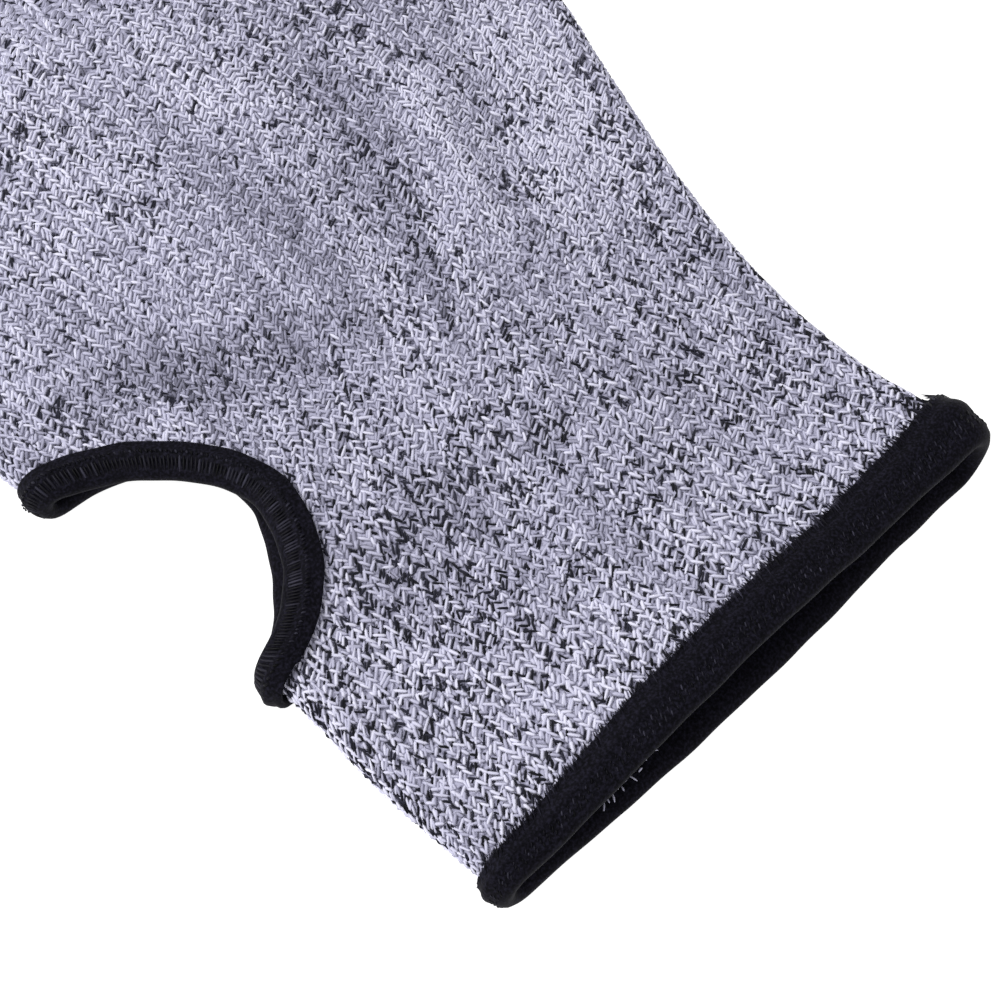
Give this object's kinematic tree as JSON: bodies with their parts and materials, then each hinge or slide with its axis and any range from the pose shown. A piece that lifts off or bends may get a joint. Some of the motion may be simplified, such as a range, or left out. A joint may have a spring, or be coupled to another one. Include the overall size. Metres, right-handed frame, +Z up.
{
  "type": "cut resistant sleeve",
  "caption": "Seamless knitted forearm sleeve with a thumb hole in its side fold and tape-bound edges, lying flat.",
  "frame": {"origin": "middle of the box round the lying sleeve, on the surface it lies on", "axes": "+Y from the hand's mouth to the arm opening, +X away from the thumb hole, +Z up"},
  "size_m": [0.1362, 0.45, 0.018],
  "materials": {
    "knit_yarn": "matt knitted yarn, pale lavender grey marled with black",
    "elastic_tape": "matt woven elastic tape, near-black navy"
  },
  "bodies": {
    "root": {"knit_tube": "knit_yarn", "hand_binding": "elastic_tape", "thumb_binding": "elastic_tape", "arm_binding": "elastic_tape"}
  },
  "joints": []
}
